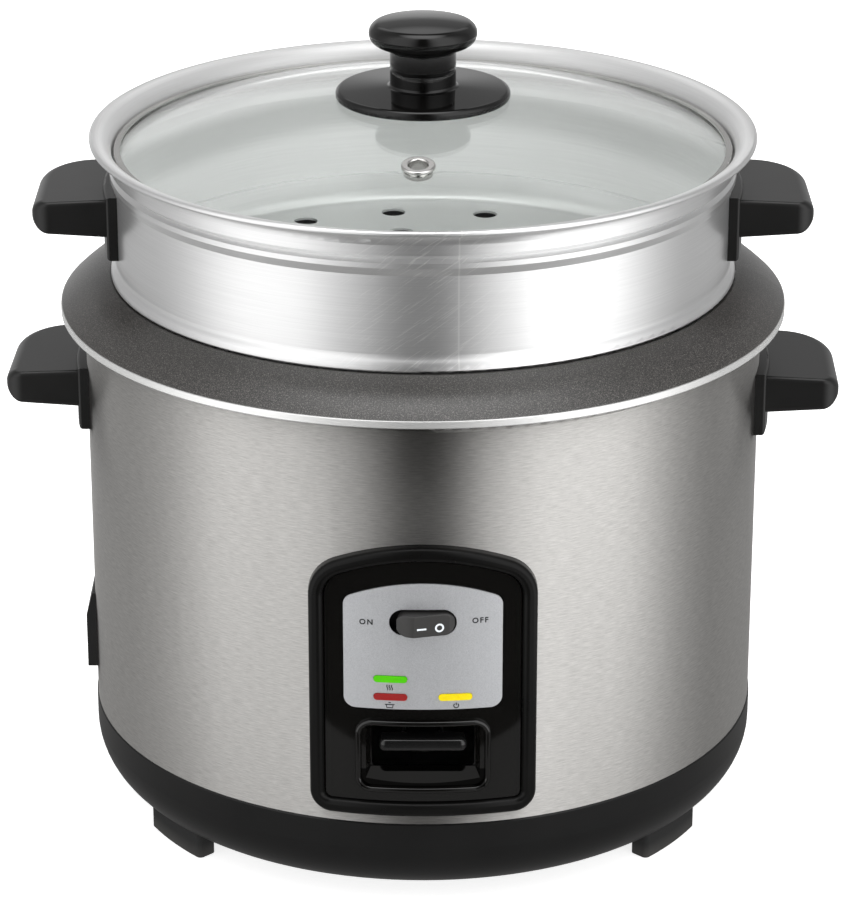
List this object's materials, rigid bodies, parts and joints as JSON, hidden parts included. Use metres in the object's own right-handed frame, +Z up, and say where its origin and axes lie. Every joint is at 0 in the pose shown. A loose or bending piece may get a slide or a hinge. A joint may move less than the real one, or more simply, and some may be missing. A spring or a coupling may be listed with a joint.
{
  "type": "rice cooker",
  "caption": "Round electric rice cooker with a brushed steel body, a non-stick pot, a steamer basket and a domed glass lid, worked by a cook lever and a rocker switch.",
  "frame": {"origin": "on the ground under the feet, on the axis of the housing", "axes": "+Z up; -Y is the front with the control panel; +X is the right-hand handle seen from the front, and the mains inlet is on the -X side"},
  "size_m": [0.3324, 0.2888, 0.3227],
  "materials": {
    "base_plastic": "satin",
    "foot_rubber": "matt",
    "brushed_steel": "brushed",
    "sheet_steel": "satin",
    "bright_steel": "bright",
    "cast_aluminium": "cast",
    "element_sheath": "dull",
    "ferrite": "dull",
    "thermostat_shell": "plain",
    "fuse_case": "plain",
    "switch_plastic": "matt",
    "board_laminate": "plain",
    "lever_plastic": "gloss",
    "bezel_plastic": "satin",
    "face_plastic": "gloss",
    "silver_plate": "fine satin",
    "lamp_green": "gloss",
    "lamp_red": "gloss",
    "lamp_yellow": "gloss",
    "rocker_plastic": "satin",
    "handle_plastic": "semi-gloss",
    "inlet_plastic": "matt",
    "prong_brass": "plated",
    "nonstick_coating": "speckled",
    "satin_aluminium": "satin",
    "lid_steel": "bright",
    "clear_glass": "clear",
    "knob_plastic": "gloss"
  },
  "bodies": {
    "cooker_body": {"base_shell": "base_plastic", "feet": "foot_rubber", "outer_housing": "brushed_steel", "bottom_cover": "sheet_steel", "inner_shell": "sheet_steel", "warming_band": "sheet_steel", "sensor_cup": "sheet_steel", "lever_bracket": "sheet_steel", "base_screws": "bright_steel", "plate_screws": "bright_steel", "bracket_rivets": "bright_steel", "handle_screws": "bright_steel", "lever_pin": "bright_steel", "sensor_spring": "bright_steel", "heating_plate": "cast_aluminium", "heater_element": "element_sheath", "warm_thermostat": "thermostat_shell", "thermal_fuse": "fuse_case", "micro_switch": "switch_plastic", "switch_body": "switch_plastic", "lamp_board": "board_laminate", "panel_bezel": "bezel_plastic", "panel_face": "face_plastic", "badge_plate": "silver_plate", "warm_lamp": "lamp_green", "cook_lamp": "lamp_red", "power_lamp": "lamp_yellow", "body_handle_right": "handle_plastic", "body_handle_left": "handle_plastic", "mains_inlet": "inlet_plastic", "inlet_prongs": "prong_brass"},
    "pot": {"inner_pot": "nonstick_coating"},
    "steamer": {"steamer_basket": "satin_aluminium", "steamer_handle_right": "handle_plastic", "steamer_handle_left": "handle_plastic", "steamer_rivets": "bright_steel"},
    "lid": {"lid_rim": "lid_steel", "lid_glass": "clear_glass", "steam_eyelet": "lid_steel", "knob_base": "knob_plastic", "knob_grip": "knob_plastic", "knob_washer": "bright_steel", "knob_screw": "bright_steel"},
    "sensor": {"sensor_cap": "cast_aluminium", "sensor_ferrite": "ferrite"},
    "magnet": {"magnet_rod": "bright_steel", "lift_magnet": "ferrite"},
    "lever": {"cook_lever": "lever_plastic"},
    "rocker": {"power_rocker": "rocker_plastic"}
  },
  "joints": [
    {"name": "pot_lift", "type": "slide", "parent": "cooker_body", "child": "pot", "axis": [0, 0, 1], "range_m": [0, 0.16]},
    {"name": "steamer_lift", "type": "slide", "parent": "pot", "child": "steamer", "axis": [0, 0, 1], "range_m": [0, 0.09]},
    {"name": "lid_lift", "type": "slide", "parent": "steamer", "child": "lid", "axis": [0, 0, 1], "range_m": [0, 0.08]},
    {"name": "sensor_press", "type": "slide", "parent": "cooker_body", "child": "sensor", "axis": [0, 0, 1], "range_m": [-0.003, 0], "stiffness_N_per_m": 500, "springref_m": 0.004, "deforming": ["sensor_spring"]},
    {"name": "lever_press", "type": "hinge", "parent": "cooker_body", "child": "lever", "pos_m": [0, -0.07, 0.0541], "axis": [1, 0, 0], "range_deg": [0, 5.7], "stiffness_Nm_per_rad": 0.6, "springref_deg": -4.58},
    {"name": "magnet_lift", "type": "slide", "parent": "cooker_body", "child": "magnet", "axis": [0, 0, 1], "range_m": [0, 0.007]},
    {"name": "rocker_tilt", "type": "hinge", "parent": "cooker_body", "child": "rocker", "pos_m": [0, -0.1319, 0.1271], "axis": [0, 0, 1], "range_deg": [-14, 0]}
  ],
  "couplings": [
    {"joint": "magnet_lift", "follows": "lever_press", "m_per_rad": 0.07}
  ]
}
